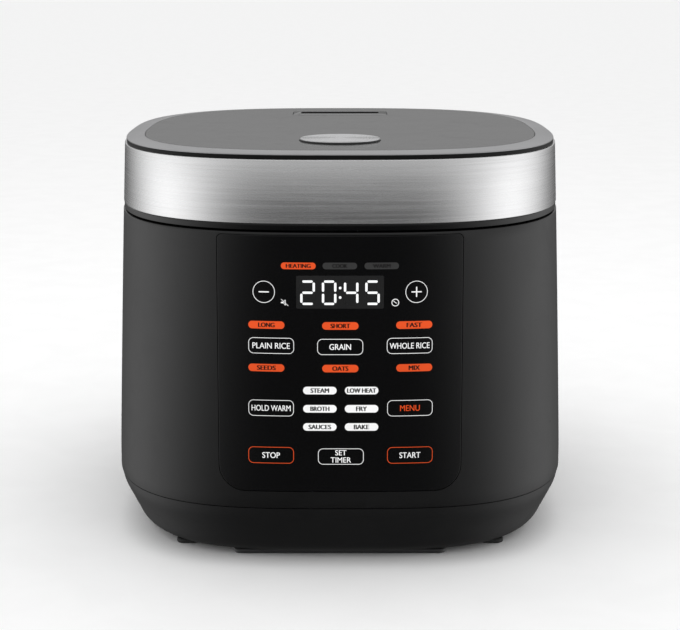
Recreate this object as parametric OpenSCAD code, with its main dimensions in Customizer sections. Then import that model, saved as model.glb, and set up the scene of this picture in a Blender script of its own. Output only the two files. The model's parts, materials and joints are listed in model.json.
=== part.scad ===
// Electric rice and multi cooker: a tapered tub on a rounded base, a hinged lid with a
// steel band, a glass touch panel, a removable pot on a sprung-sensor heating plate.
// Millimetres. X to the right, Y to the back, Z up. Heights are measured from the floor.

/* [Lid] */
// Width of the steel band round the lid
lid_w = 282; // [276:1:288]
// Depth of the lid from its front to its back
lid_d = 330; // [326:1:336]
// How far the lid's wall leans in by its top
lid_lean = 1.7; // [0:0.1:2.5]
// Squareness of the lid's outline, where 2 is an ellipse
lid_square = 2.85; // [2.7:0.05:2.95]
// Height of the lid's top panel above the floor
panel_top = 249.2; // [248:0.2:252]
// Width of the bevelled trim ring round the top panel
trim_w = 11.4; // [8:0.2:14]

/* [Body] */
// Height of the body's top edge above the floor
body_top = 203; // [202:0.5:203]
// Height of the seam between the body and the base
seam_z = 37.6; // [34:0.2:40]
// How much wider the body is than the lid at its widest, on each side
bulge = 4.2; // [3:0.1:5]
// Squareness of the base's outline
base_square = 3.3; // [3:0.05:3.5]
// Thickness of the body's plastic wall
wall = 3; // [2.4:0.1:3.2]

/* [Pot] */
// Inside diameter of the pot
pot_d = 226; // [220:1:228]
// Height of the pot's rolled rim above the floor
pot_top = 198; // [197.5:0.1:198]
// Height of the heating plate's face above the floor
plate_top = 62; // [58:1:70]

/* [Controls] */
// Width of the touch glass
glass_w = 144; // [130:1:146]
// Height of the touch glass's lower edge above the floor
glass_low = 48.2; // [44:0.2:60]
// Diameter of the lid's release button
button_d = 49.6; // [44:0.2:50]
// How far the release button travels
button_travel = 3.5; // [2:0.1:4]

/* [Back] */
// Width of the housing at the back, which holds the hinge and the condensate cup
housing_w = 136; // [130:1:140]
// Depth from the lid's centre to the back face of that housing
housing_back = 193.2; // [192:0.2:198]

/* [Hidden] */

clear = 0.3;                       // gap between pieces that move past each other
plan_steps = 88;                   // points round an outline, a multiple of 4
half_w = lid_w / 2;
half_d = lid_d / 2;

// Heights in the lid
band_low = body_top + 5;
band_top = panel_top - 4.3;
ring_low = panel_top - 1.8;
ring_edge = panel_top - 1.3;
deck_low = panel_top - 5;
deck_top = panel_top - 3;
rim_low = body_top + 1;
liner_low = body_top + 1;

// The body is widest up to bulge_z and narrows above it to the lid's outline
bulge_z = 50;
taper = 1.1;
body_rings = 6;

// Pot, chamber and heating plate
pot_r = pot_d / 2;
pot_wall = 2;
flange_r = pot_r + 12;
seat_r = pot_r + 15;               // wall round the pot's flange
deck_z = pot_top + 4.4;            // top of the body's inner deck
chamber_r = pot_r + 6;
chamber_low = plate_top - 18;
sensor_r = 15;
stem_r = 4;

// Release button and latch
button_r = button_d / 2;
button_y = -92;
button_rise = 1.6;
pivot_y = -146;
pivot_z = 221;
pivot_r = 1.6;
lever_top = pivot_z + 4.7;
nose_y = -142.4;
nose_top = 197.1;

// Hinge, housing and condensate cup
hinge_y = 176;
hinge_z = body_top + 2;
hinge_r = 3;
knuckle_r = 7.5;
block_half = 62;
housing_front = 150;
housing_low = 104;
cup_half = 39.7;
cup_low = 112.3;
cup_top = 164.7;
cup_front = 158.5;

// Steam vent in the lid
vent_y = 105;
vent_half_w = 34;
vent_half_d = 17;

// Power inlet
inlet_z = 72;
inlet_face = 171.3;

// The frame's origin is under the middle of the whole depth
body_front = -(half_d + bulge + 0.3);
plan_y = -(body_front + housing_back) / 2;

// ---- outlines and lofts ----

function power_of(v, n) = sign(v) * pow(abs(v), 2 / n);

function outline(grow = 0, square = lid_square, grow_y = undef) =
    let (a = half_w + grow, b = half_d + (is_undef(grow_y) ? grow : grow_y))
    [for (i = [0:plan_steps - 1]) let (t = 360 * i / plan_steps)
        [a * power_of(cos(t), square), b * power_of(sin(t), square)]];

function ring_at(z, pts) = [for (p = pts) [p[0], p[1], z]];

function body_grow(z) =
    0.3 + bulge * (1 - pow(max(z - bulge_z, 0) / (body_top - bulge_z), taper));

function body_square(z) =
    lid_square + (base_square - lid_square) * (body_top - z) / (body_top - seam_z);

function body_ring(z, inset = 0) =
    ring_at(z, outline(body_grow(z) - inset, body_square(z)));

// Steps of a loft, counted from the first ring
function loft_sides(count, n) =
    [for (j = [0:count - 1]) for (i = [0:n - 1])
        let (a = j * n + i, b = j * n + (i + 1) % n)
        each [[a, a + n, b + n], [a, b + n, b]]];

// A closed solid through a list of rings with the same number of points
module loft(rings) {
    n = len(rings[0]);
    last = len(rings) - 1;
    polyhedron(
        points = [for (r = rings) each r],
        faces = concat(
            [[for (i = [0:n - 1]) i]],
            [[for (i = [n - 1:-1:0]) last * n + i]],
            loft_sides(last, n)),
        convexity = 6);
}

// A ring-shaped solid: the last ring joins the first
module loft_loop(rings) {
    n = len(rings[0]);
    m = len(rings);
    polyhedron(
        points = [for (r = rings) each r],
        faces = [for (j = [0:m - 1]) for (i = [0:n - 1])
            let (a = j * n + i, b = j * n + (i + 1) % n,
                 c = ((j + 1) % m) * n + (i + 1) % n, d = ((j + 1) % m) * n + i)
            each [[a, d, c], [a, c, b]]],
        convexity = 6);
}

// A round wire or lead along a path, with "up" roughly across it
module sweep(path, r, up = [0, 0, 1], sides = 8) {
    last = len(path) - 1;
    loft([for (k = [0:last])
        let (t = path[min(k + 1, last)] - path[max(k - 1, 0)],
             u = cross(up, t) / norm(cross(up, t)),
             v = cross(t, u) / norm(cross(t, u)))
        [for (i = [0:sides - 1]) let (a = 360 * i / sides)
            path[k] + r * (cos(a) * u + sin(a) * v)]]);
}

// A compression spring standing on the XY plane
module coil(r, wire, turns, height) {
    steps = 14;
    sweep([for (k = [0:turns * steps])
        [r * cos(360 * k / steps), r * sin(360 * k / steps),
         wire + (height - 2 * wire) * k / (turns * steps)]], wire, sides = 6);
}

// A rectangle with round corners, as an outline in its own plane
function rounded(w, h, r, steps = 6) =
    [for (c = [[1, 1, 0], [-1, 1, 90], [-1, -1, 180], [1, -1, 270]])
        for (k = [0:steps])
            [c[0] * (w / 2 - r) + r * cos(c[2] + 90 * k / steps),
             c[1] * (h / 2 - r) + r * sin(c[2] + 90 * k / steps)]];

module slab(pts, low, high) {
    translate([0, 0, low]) linear_extrude(high - low) polygon(pts);
}

module box(x, y, z) {
    translate([x[0], y[0], z[0]]) cube([x[1] - x[0], y[1] - y[0], z[1] - z[0]]);
}

module post(x, y, r, low, high, facets = 48) {
    translate([x, y, low]) cylinder(r = r, h = high - low, $fn = facets);
}

module tube(outer, inner, low, high) {
    difference() {
        post(0, 0, outer, low, high, 96);
        post(0, 0, inner, low - 1, high + 1, 96);
    }
}

// A shaft along X
module rod(half, y, z, r) {
    translate([-half, y, z]) rotate([0, 90, 0]) cylinder(r = r, h = 2 * half, $fn = 48);
}

module at_corners(x, y) {
    for (sx = [-1, 1]) for (sy = [-1, 1]) translate([sx * x, sy * y, 0]) children();
}

module either_side() {
    children();
    mirror([1, 0, 0]) children();
}

module on_plan() {
    translate([0, plan_y, 0]) children();
}

// ---- body ----

glass_high = body_top - 1.7;

// The touch glass's outline, pushed along Y through the front wall
module glass_prism(grow = 0) {
    r = 15.5;
    top_r = 3;
    w = glass_w / 2 + grow;
    low = glass_low - grow;
    high = glass_high + grow;
    pts = concat(
        [for (k = [0:6]) [w - r + r * cos(15 * k - 90), low + r + r * sin(15 * k - 90)]],
        [for (k = [0:3]) [w - top_r + top_r * cos(30 * k), high - top_r + top_r * sin(30 * k)]],
        [for (k = [3:-1:0]) [-w + top_r - top_r * cos(30 * k), high - top_r + top_r * sin(30 * k)]],
        [for (k = [6:-1:0]) [-w + r - r * cos(15 * k - 90), low + r + r * sin(15 * k - 90)]]);
    translate([0, -100, 0]) rotate([90, 0, 0]) linear_extrude(100) polygon(pts);
}

// The body's wall between two depths below its surface
module body_skin(outer_inset, inner_inset) {
    z_of = [for (k = [0:body_rings]) seam_z + (body_top - seam_z) * k / body_rings];
    loft_loop(concat(
        [for (k = [0:body_rings]) body_ring(z_of[k], outer_inset)],
        [for (k = [body_rings:-1:0]) body_ring(z_of[k], inner_inset)]));
}

module housing_box(grow = 0) {
    box([-housing_w / 2 - grow, housing_w / 2 + grow],
        [housing_front - grow, housing_back + grow],
        [housing_low - grow, body_top + 1]);
}

module outer_shell() color([0.07, 0.07, 0.075]) difference() {
    body_skin(0, wall);
    glass_prism();
    housing_box();
    box([-17, 17], [150, 180], [inlet_z - 12, inlet_z + 12]);
}

module control_glass() color([0.02, 0.02, 0.025]) intersection() {
    body_skin(0, 2.2);
    glass_prism(-0.15);
}

module upper_rim() color([0.03, 0.03, 0.03]) {
    difference() {
        slab(outline(body_grow(deck_z) - wall - 0.2), deck_z - 3.4, deck_z);
        post(0, 0, seat_r, deck_z - 5, deck_z + 1, 128);
        box([-11, 11], [-154, -139.5], [deck_z - 5, deck_z + 1]);
        housing_box(0.1);
    }
    tube(seat_r + 2, seat_r, pot_top - 5, deck_z - 3.4);
    tube(seat_r, chamber_r + 2, pot_top - 5, pot_top - pot_wall);
}

// The base tucks in under the seam: height, inset at the sides, inset at the front and back
base_profile = [[3, 19, 23], [5, 15.4, 18.6], [9, 11.8, 14], [15, 9, 10.2],
                [22, 5.8, 6.6], [31, 1.8, 2], [seam_z - 0.4, 0.4, 0.4]];

function base_ring(row, inset = 0) =
    ring_at(row[0], outline(body_grow(seam_z) - row[1] - inset, base_square,
        body_grow(seam_z) - row[2] - inset));

module base_tub() color([0.09, 0.09, 0.095]) difference() {
    loft(concat(
        [for (row = base_profile) base_ring(row)],
        [for (k = [len(base_profile) - 1:-1:1]) base_ring(base_profile[k], wall)],
        [base_ring([6, 17, 21], wall)]));
    post(0, 0, 100, 2, 7, 96);
    at_corners(74, 74) post(0, 0, 1.5, 2, 7);
}

module bottom_plate() color([0.12, 0.12, 0.13]) difference() {
    post(0, 0, 110, 1.2, 3, 128);
    for (k = [-7:7]) box([-3 + 11 * k, 3 + 11 * k], [-42, 42], [1, 4]);
    at_corners(74, 74) post(0, 0, 1.5, 1, 4);
}

module base_screws() color([0.6, 0.6, 0.62]) at_corners(74, 74) {
    post(0, 0, 3.2, 0.4, 1.2);
    post(0, 0, 1.5, 1.2, 12);
}

module front_foot_bar() color([0.05, 0.05, 0.05])
    translate([0, -135, 0]) slab(rounded(131, 18, 5), 0, 3);

module rubber_feet() color([0.04, 0.04, 0.04]) {
    at_corners(95, 116) slab(rounded(15, 20, 5), 0, 3);
}

// ---- control panel ----

module panel_carrier() color([0.8, 0.8, 0.8]) difference() {
    box([-66, 66], [-153.4, -150], [54, 194]);
    box([-31, 31], [-154, -149], [159, 185]);
    for (row = [0:2]) for (col = [-1:1])
        box([-6 + 42 * col, 6 + 42 * col], [-154, -149], [74 + 28 * row, 80 + 28 * row]);
}

module display_module() color([0.15, 0.15, 0.15])
    box([-30, 30], [-161, -150], [160, 184]);

module touch_board() color([0.05, 0.3, 0.12])
    box([-64, 64], [-149.8, -148.2], [56, 192]);

module buzzer() color([0.1, 0.1, 0.1])
    translate([40, -140.5, 90]) rotate([90, 0, 0]) cylinder(r = 8, h = 7.7, $fn = 48);

module power_board() color([0.1, 0.35, 0.15]) {
    box([-58, 58], [-132, -85], [12, 13.6]);
    box([-48, -20], [-124, -98], [13.6, 36]);
    box([2, 22], [-122, -104], [13.6, 30]);
    post(38, -112, 8, 13.6, 34);
    for (x = [-52, 52]) post(x, -90, 3, 6, 12);
}

module wiring_harness() color([0.7, 0.1, 0.1]) for (k = [-1:1])
    sweep([[6 * k, 141.1, inlet_z - 8], [6 * k, 137, inlet_z - 9.5], [6 * k, 134, 50], [5 * k, 128, 30], [5 * k, 116, 18],
        [4 * k, 90, 11], [4 * k, 45, 9.5], [4 * k, 0, 9.5], [4 * k, -45, 10],
        [6 * k, -70, 12], [8 * k, -79, 16], [10 * k, -83, 20]], 1.4, up = [1, 0, 0]);

// ---- pot, chamber and heater ----

module inner_pot() color([0.25, 0.25, 0.26]) {
    corner = 20;
    low = plate_top;
    inside = low + pot_wall;
    rotate_extrude($fn = 128) polygon(concat(
        [[0, low]],
        [for (k = [0:8]) [pot_r + pot_wall - corner + corner * sin(11.25 * k),
                          low + corner - corner * cos(11.25 * k)]],
        [[pot_r + pot_wall, pot_top - pot_wall], [flange_r, pot_top - pot_wall],
         [flange_r, pot_top], [pot_r, pot_top]],
        [for (k = [8:-1:0]) [pot_r - corner + corner * sin(11.25 * k),
                             inside + corner - corner * cos(11.25 * k)]],
        [[0, inside]]));
}

terminal_spots = [[-20, -67], [20, -67]];

module heating_chamber() color([0.75, 0.76, 0.78]) difference() {
    rotate_extrude($fn = 128) polygon([
        [34, chamber_low], [chamber_r + 1, chamber_low], [chamber_r + 1, pot_top - 5],
        [chamber_r, pot_top - 5], [chamber_r, chamber_low + 1], [34, chamber_low + 1]]);
    for (p = terminal_spots) post(p[0], p[1], 4.5, chamber_low - 1, chamber_low + 2);
}

module side_heater_band() color([0.7, 0.55, 0.3])
    tube(chamber_r + 2.4, chamber_r + 1.2, 92, 150);

module heating_plate() color([0.62, 0.62, 0.64]) rotate_extrude($fn = 128) polygon([
    [22, plate_top - 8], [98, plate_top - 8], [100, plate_top - 5], [94, plate_top - 0.5],
    [88, plate_top], [22, plate_top]]);

module heating_element() color([0.5, 0.5, 0.52]) {
    translate([0, 0, plate_top - 12.4])
        rotate_extrude($fn = 96) translate([70, 0]) circle(r = 4.2, $fn = 32);
    for (p = terminal_spots) post(p[0], p[1], 2.6, chamber_low - 9, plate_top - 13);
}

module plate_stands() color([0.8, 0.8, 0.8]) for (a = [0, 120, 240]) {
    rotate(a) {
        post(88, 0, 4, chamber_low + 1, plate_top - 8);
        post(92, 0, 4, 6, chamber_low);
    }
}

module thermal_fuse() color([0.85, 0.85, 0.8])
    box([40, 58], [-4, 4], [chamber_low - 4.5, chamber_low]);

module sensor_housing() color([0.2, 0.2, 0.2]) {
    tube(20, sensor_r + 1, chamber_low - 4, plate_top - 4);
    tube(32, 20, chamber_low + 1.2, chamber_low + 2.6);
    tube(sensor_r + 1, stem_r + 0.08, chamber_low - 4, chamber_low - 2.5);
}

module thermal_sensor() color([0.8, 0.8, 0.82]) {
    post(0, 0, sensor_r, plate_top - 4.3, plate_top - clear, 96);
    post(0, 0, stem_r, chamber_low - 8, plate_top - 4.3);
}

module sensor_spring() color([0.6, 0.6, 0.65])
    translate([0, 0, chamber_low - 2.4])
        coil(8, 0.6, 5, plate_top - 4.7 - (chamber_low - 2.4));

// ---- back ----

module power_inlet() color([0.04, 0.04, 0.04]) difference() {
    translate([0, inlet_face, inlet_z]) rotate([90, 0, 0]) difference() {
        union() {
            linear_extrude(1.8) polygon(rounded(48, 30, 4));
            translate([0, 0, 1.8]) linear_extrude(28) polygon(rounded(30, 22, 2));
        }
        translate([0, 0, -1]) linear_extrude(18) polygon(rounded(25, 17, 2.5));
        for (x = [-19.5, 19.5]) translate([x, 0, -1]) cylinder(r = 1.7, h = 5, $fn = 32);
    }
    inlet_pins();
}

module inlet_pins() color([0.8, 0.7, 0.4]) for (p = [[-7, -2], [0, 2], [7, -2]])
    box([p[0] - 1, p[0] + 1], [137, inlet_face - 3], [inlet_z + p[1] - 2, inlet_z + p[1] + 2]);

module rear_housing() color([0.06, 0.06, 0.065]) difference() {
    corner = 12;
    depth = housing_back - housing_front;
    intersection() {
        housing_box();
        translate([0, housing_back - depth, 0])
            slab(rounded(housing_w, 2 * depth, corner), housing_low, body_top);
    }
    box([-57, 57], [166.5, 187], [193, body_top + 1]);
    box([-block_half - 0.5, block_half + 0.5], [160, housing_back - 5.2],
        [body_top - 0.2, body_top + 1]);
    box([-cup_half - clear, cup_half + clear], [cup_front - 0.5, housing_back + 1],
        [cup_low - clear, cup_top + clear]);
    box([-24, 24], [182, 186.5], [cup_top, 194]);
}

module hinge_bracket() color([0.7, 0.7, 0.72]) {
    box([-52.5, 52.5], [168, 181.5], [193, 194.5]);
    either_side() difference() {
        union() {
            box([50, 52.5], [168.5, 181.5], [194.5, hinge_z]);
            translate([50, hinge_y, hinge_z])
                rotate([0, 90, 0]) cylinder(r = knuckle_r, h = 2.5, $fn = 64);
        }
        rod(60, hinge_y, hinge_z, hinge_r);
    }
}

module hinge_pin() color([0.75, 0.75, 0.78]) rod(56, hinge_y, hinge_z, hinge_r);

module hinge_springs() color([0.5, 0.5, 0.55]) either_side() {
    steps = 14;
    turns = 6;
    sweep(concat(
        [[2, hinge_y + 4.3, 195.5]],
        [for (k = [0:turns * steps]) [2 + 2.6 * k / steps,
            hinge_y + 4.3 * cos(360 * k / steps), hinge_z + 4.3 * sin(360 * k / steps)]]),
        0.8, up = [1, 0, 0], sides = 6);
}

module latch_catch() color([0.75, 0.75, 0.78])
    box([-14, 14], [nose_y + 0.4, -seat_r - 2.4], [deck_z - 4.9, deck_z - 3.4]);

module condensate_cup() color([0.3, 0.32, 0.35]) difference() {
    union() {
        box([-cup_half, cup_half], [cup_front, housing_back - 1], [cup_low, cup_top]);
        box([-12, 12], [housing_back - 1.5, housing_back], [cup_low + 8, cup_low + 12]);
    }
    box([1.6 - cup_half, cup_half - 1.6], [cup_front + 1.6, housing_back - 2.8],
        [cup_low + 1.6, cup_top + 1]);
}

// ---- lid ----

// The gap in the lid's wall that the hinge block fills
module hinge_gap(grow = 0) {
    box([-block_half - grow, block_half + grow], [150, 180], [body_top, band_top + grow]);
}

// The lid's outline at one height, and its wall as a solid
function lid_grow(z) = -lid_lean * max(z - band_low, 0) / (panel_top - band_low);

module lid_wall(inset, heights) {
    loft([for (z = heights) ring_at(z, outline(lid_grow(z) - inset))]);
}

module lid_band() color([0.8, 0.8, 0.81]) difference() {
    lid_wall(0, [band_low, band_top]);
    lid_wall(1.2, [band_low - 1, band_low, band_top + 1]);
    hinge_gap(0.1);
}

boss_x = 104;
boss_y = 112;

module lid_frame() color([0.02, 0.02, 0.02]) {
    difference() {
        lid_wall(1.3, [band_low, ring_low]);
        slab(outline(-4.3), band_low - 1, deck_low);
        slab(outline(-0.9 - lid_lean - trim_w), deck_top, ring_low + 1);
        translate([0, button_y, 0]) post(0, 0, button_r + 3, deck_low - 1, panel_top, 96);
        vent_hole(2.6);
        hinge_gap(0.1);
    }
    at_corners(boss_x, boss_y) difference() {
        post(0, 0, 4.5, liner_low + 2.5, deck_low);
        post(0, 0, 1.5, liner_low + 2, liner_low + 22);
    }
}

module vent_hole(grow) {
    translate([0, vent_y, 0]) slab(
        rounded(2 * (vent_half_w + grow), 2 * (vent_half_d + grow), 6 + grow),
        deck_low - 1, panel_top + 1);
}

module lid_trim_ring() color([0.22, 0.22, 0.23]) {
    outer = outline(-0.9 - lid_lean);
    inner = outline(-0.9 - lid_lean - trim_w);
    loft_loop([ring_at(ring_low, outer), ring_at(ring_edge, outer),
        ring_at(panel_top, inner), ring_at(ring_low, inner)]);
}

module lid_top_panel() color([0.06, 0.06, 0.065]) difference() {
    slab(outline(-1.1 - lid_lean - trim_w), deck_top, panel_top);
    translate([0, button_y, 0]) post(0, 0, button_r + 0.4, deck_low, panel_top + 1, 96);
    vent_hole(0.4);
}

module lid_lower_rim() color([0.02, 0.02, 0.02]) difference() {
    slab(outline(-0.3), rim_low, band_low);
    slab(outline(-6), rim_low - 1, band_low + 1);
    hinge_gap(0.1);
}

dome_r = seat_r - 0.5;

module lid_liner() color([0.12, 0.12, 0.12]) difference() {
    union() {
        slab(outline(-6.2), liner_low, liner_low + 2.4);
        post(0, 0, dome_r, liner_low + 2.4, liner_low + 8, 128);
    }
    post(0, 0, dome_r - 2, liner_low - 1, liner_low + 6, 128);
    post(0, vent_y - 15, 10.4, liner_low, liner_low + 9);
    post(-45, 30, 7.2, liner_low, liner_low + 9);
    box([-11, 11], [-153, -141], [liner_low - 1, liner_low + 3]);
    at_corners(boss_x, boss_y) post(0, 0, 1.5, liner_low - 1, liner_low + 3);
    box([-block_half - 0.1, block_half + 0.1], [152, 180], [liner_low - 1, liner_low + 3]);
}

module lid_hinge_block() color([0.05, 0.05, 0.05]) difference() {
    union() {
        intersection() {
            lid_wall(0, [rim_low, band_low, band_top]);
            box([-block_half, block_half], [152.5, 180], [rim_low, band_top]);
        }
        either_side() {
            box([20, 48], [160, hinge_y], [rim_low + 0.2, hinge_z + knuckle_r]);
            translate([20, hinge_y, hinge_z])
                rotate([0, 90, 0]) cylinder(r = knuckle_r, h = 28, $fn = 64);
        }
    }
    rod(60, hinge_y, hinge_z, hinge_r + 0.05);
}

module lid_screws() color([0.6, 0.6, 0.62]) at_corners(boss_x, boss_y) {
    post(0, 0, 3.2, liner_low - 0.9, liner_low);
    post(0, 0, 1.5, liner_low, liner_low + 20);
}

plate_z = liner_low + 0.6;

module inner_lid_plate() color([0.78, 0.78, 0.8]) difference() {
    union() {
        tube(119.5, 106, plate_z, plate_z + 1.5);
        post(0, 0, 106, plate_z - 1.6, plate_z + 1.5, 128);
    }
    post(0, 0, 103, plate_z - 0.1, plate_z + 2, 128);
    for (k = [-2:2]) post(14 * k, vent_y - 15, 3, plate_z - 2, plate_z + 1);
}

module pot_gasket() color([0.75, 0.75, 0.74]) rotate_extrude($fn = 128) polygon([
    [116.5, plate_z - 1.4], [120, plate_z - 1.4], [118, pot_top + clear],
    [124, pot_top + clear], [124.8, plate_z - 1], [124.8, plate_z + 2.6],
    [118.5, plate_z + 2.6], [118.5, plate_z + 1.6], [119.6, plate_z + 1.6],
    [119.6, plate_z - 0.1], [116.5, plate_z - 0.1]]);

module plate_clips() color([0.15, 0.15, 0.15]) for (a = [30, 150, 210, 330])
    rotate(a) box([96, 104], [-6, 6], [plate_z + 1.7, liner_low + 5.9]);

module lid_sensor() color([0.8, 0.8, 0.82]) {
    post(-45, 30, 7, plate_z + 0.2, liner_low + 8);
    post(-45, 30, 3, liner_low + 8, liner_low + 13);
}

well_low = liner_low + 9;

module steam_duct() color([0.1, 0.1, 0.1]) difference() {
    union() {
        translate([0, vent_y, 0]) slab(
            rounded(2 * vent_half_w + 4.6, 2 * vent_half_d + 4.6, 8), well_low, deck_low);
        post(0, vent_y - 15, 10, plate_z + 2, well_low);
    }
    translate([0, vent_y, 0]) slab(
        rounded(2 * vent_half_w + 0.8, 2 * vent_half_d + 0.8, 6.4), well_low + 2, deck_low + 1);
    post(0, vent_y - 15, 8, plate_z, well_low + 3);
}

module steam_seal() color([0.8, 0.8, 0.78])
    translate([0, vent_y - 15, 0]) tube(10, 7, plate_z + 0.3, plate_z + 2);

module steam_vent_cap() color([0.05, 0.05, 0.055]) translate([0, vent_y, 0]) difference() {
    union() {
        slab(rounded(2 * vent_half_w, 2 * vent_half_d, 6), panel_top - 2.4, panel_top);
        slab(rounded(2 * vent_half_w - 4, 2 * vent_half_d - 4, 4), well_low + 8, panel_top - 2.4);
    }
    slab(rounded(2 * vent_half_w - 7, 2 * vent_half_d - 7, 3), well_low + 10, panel_top - 2.4);
    box([-28.5, 28.5], [0, 13], [panel_top - 3, panel_top + 1]);
    for (k = [-2:2]) post(11 * k, 0, 3, well_low + 7, well_low + 11);
}

// ---- release button and latch ----

module button_housing() color([0.1, 0.1, 0.1]) translate([0, button_y, 0]) {
    tube(button_r + 2.8, button_r + 0.4, panel_top - 19, deck_top);
    tube(button_r + 0.5, 7, panel_top - 19, panel_top - 17);
    tube(7, stem_r + 0.08, lever_top + 1.2, panel_top - 11);
}

module release_button() color([0.6, 0.6, 0.62]) translate([0, button_y, 0]) {
    edge = 0.8;
    top = panel_top + button_rise;
    rotate_extrude($fn = 128) polygon(concat(
        [[0, top - 2.6], [button_r - 2, top - 2.6], [button_r - 2, top - 9], [button_r, top - 9]],
        [for (k = [0:4]) [button_r - edge + edge * cos(22.5 * k),
                          top - edge + edge * sin(22.5 * k)]],
        [[0, top]]));
    post(0, 0, stem_r, lever_top + clear, top - 2.6);
}

module button_spring() color([0.6, 0.6, 0.65])
    translate([0, button_y, panel_top - 16.9]) coil(10, 0.6, 5, 15.6);

module latch_bracket() color([0.12, 0.12, 0.12]) difference() {
    either_side() box([12, 15], [pivot_y - 5, pivot_y + 5], [liner_low + 2.4, pivot_z + 5]);
    rod(16, pivot_y, pivot_z, pivot_r);
}

module latch_pin() color([0.75, 0.75, 0.78]) rod(16, pivot_y, pivot_z, pivot_r);

module latch_lever() color([0.15, 0.15, 0.16]) difference() {
    union() {
        rod(9, pivot_y, pivot_z, 4.6);
        box([-6, 6], [pivot_y, button_y + 5], [lever_top - 6, lever_top]);
        box([-9, 9], [pivot_y - 2.5, pivot_y + 2.5], [nose_top - 3, pivot_z]);
        box([-9, 9], [pivot_y, nose_y], [nose_top - 3, nose_top]);
    }
    rod(10, pivot_y, pivot_z, pivot_r + 0.06);
}

module latch_spring() color([0.6, 0.6, 0.65])
    translate([0, -135.5, liner_low + 2.6]) coil(3.5, 0.4, 4, lever_top - 6.4 - liner_low - 2.6);

on_plan() outer_shell();
on_plan() upper_rim();
on_plan() base_tub();
on_plan() bottom_plate();
on_plan() front_foot_bar();
on_plan() rubber_feet();
on_plan() base_screws();
on_plan() control_glass();
on_plan() panel_carrier();
on_plan() display_module();
on_plan() touch_board();
on_plan() buzzer();
on_plan() power_board();
on_plan() heating_chamber();
on_plan() side_heater_band();
on_plan() heating_plate();
on_plan() heating_element();
on_plan() plate_stands();
on_plan() thermal_fuse();
on_plan() sensor_housing();
on_plan() thermal_sensor();
on_plan() sensor_spring();
on_plan() inner_pot();
on_plan() power_inlet();
on_plan() inlet_pins();
on_plan() wiring_harness();
on_plan() rear_housing();
on_plan() hinge_bracket();
on_plan() hinge_pin();
on_plan() hinge_springs();
on_plan() latch_catch();
on_plan() condensate_cup();
on_plan() lid_band();
on_plan() lid_frame();
on_plan() lid_trim_ring();
on_plan() lid_top_panel();
on_plan() lid_lower_rim();
on_plan() lid_liner();
on_plan() lid_hinge_block();
on_plan() lid_screws();
on_plan() lid_sensor();
on_plan() inner_lid_plate();
on_plan() pot_gasket();
on_plan() plate_clips();
on_plan() steam_duct();
on_plan() steam_seal();
on_plan() steam_vent_cap();
on_plan() button_housing();
on_plan() release_button();
on_plan() button_spring();
on_plan() latch_bracket();
on_plan() latch_pin();
on_plan() latch_lever();
on_plan() latch_spring();
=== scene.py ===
"""Looks for an electric rice and multi cooker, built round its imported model."""
import json
import math

import bmesh
import bpy
from mathutils import Matrix, Vector


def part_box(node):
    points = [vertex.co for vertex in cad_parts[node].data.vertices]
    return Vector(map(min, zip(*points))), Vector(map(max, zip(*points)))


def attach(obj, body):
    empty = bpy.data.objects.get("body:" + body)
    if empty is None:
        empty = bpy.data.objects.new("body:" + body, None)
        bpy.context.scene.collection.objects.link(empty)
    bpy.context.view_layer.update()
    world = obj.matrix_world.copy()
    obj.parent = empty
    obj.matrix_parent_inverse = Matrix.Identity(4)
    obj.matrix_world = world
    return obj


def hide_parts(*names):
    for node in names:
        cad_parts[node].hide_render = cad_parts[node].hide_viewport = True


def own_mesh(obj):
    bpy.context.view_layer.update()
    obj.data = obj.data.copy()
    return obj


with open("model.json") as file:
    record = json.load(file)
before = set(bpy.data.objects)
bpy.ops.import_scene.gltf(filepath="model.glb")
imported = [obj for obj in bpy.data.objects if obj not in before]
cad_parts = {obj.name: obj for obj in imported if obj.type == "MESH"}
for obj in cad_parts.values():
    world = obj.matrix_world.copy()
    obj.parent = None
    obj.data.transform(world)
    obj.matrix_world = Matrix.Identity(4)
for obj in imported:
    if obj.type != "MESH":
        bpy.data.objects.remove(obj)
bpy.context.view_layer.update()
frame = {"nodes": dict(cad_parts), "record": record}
nodes = frame["nodes"]

MM = 0.001

# ---------------------------------------------------------------- sizes, all in metres
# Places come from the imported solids. The numbers typed here are the outline's own shape.

band_lo, band_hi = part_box("lid_band")
shell_lo, shell_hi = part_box("outer_shell")
panel_lo, panel_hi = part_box("lid_top_panel")
ring_lo, ring_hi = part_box("lid_trim_ring")
rim_lo, rim_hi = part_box("lid_lower_rim")
glass_lo, glass_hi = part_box("control_glass")
button_lo, button_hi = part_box("release_button")
vent_lo, vent_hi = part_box("steam_vent_cap")
block_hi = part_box("lid_hinge_block")[1]
pot_lo, pot_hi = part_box("inner_pot")

LID_W = band_hi.x
CENTRE_Y = (panel_lo.y + panel_hi.y) / 2
LID_D = CENTRE_Y - band_lo.y
LID_SQUARE = 2.85
BASE_SQUARE = 3.3
BULGE = 4.2 * MM
BULGE_Z = 50 * MM
TAPER = 1.1
WALL = 3 * MM
TRIM_W = ring_hi.x - panel_hi.x - 0.2 * MM
LID_LEAN = LID_W - ring_hi.x - 0.9 * MM
BODY_TOP = shell_hi.z
SEAM_Z = shell_lo.z
STEPS = 240


def signed_power(value, square):
    return math.copysign(abs(value) ** (2 / square), value)


def outline_point(turn, grow_x, grow_y, square):
    """A point of the cooker's rounded outline, grown or shrunk from the lid's."""
    return (
        (LID_W + grow_x) * signed_power(math.cos(turn), square),
        CENTRE_Y + (LID_D + grow_y) * signed_power(math.sin(turn), square),
    )


def body_grow(z):
    rise = max(z - BULGE_Z, 0.0) / (BODY_TOP - BULGE_Z)
    return 0.3 * MM + BULGE * (1 - rise ** TAPER)


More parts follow.
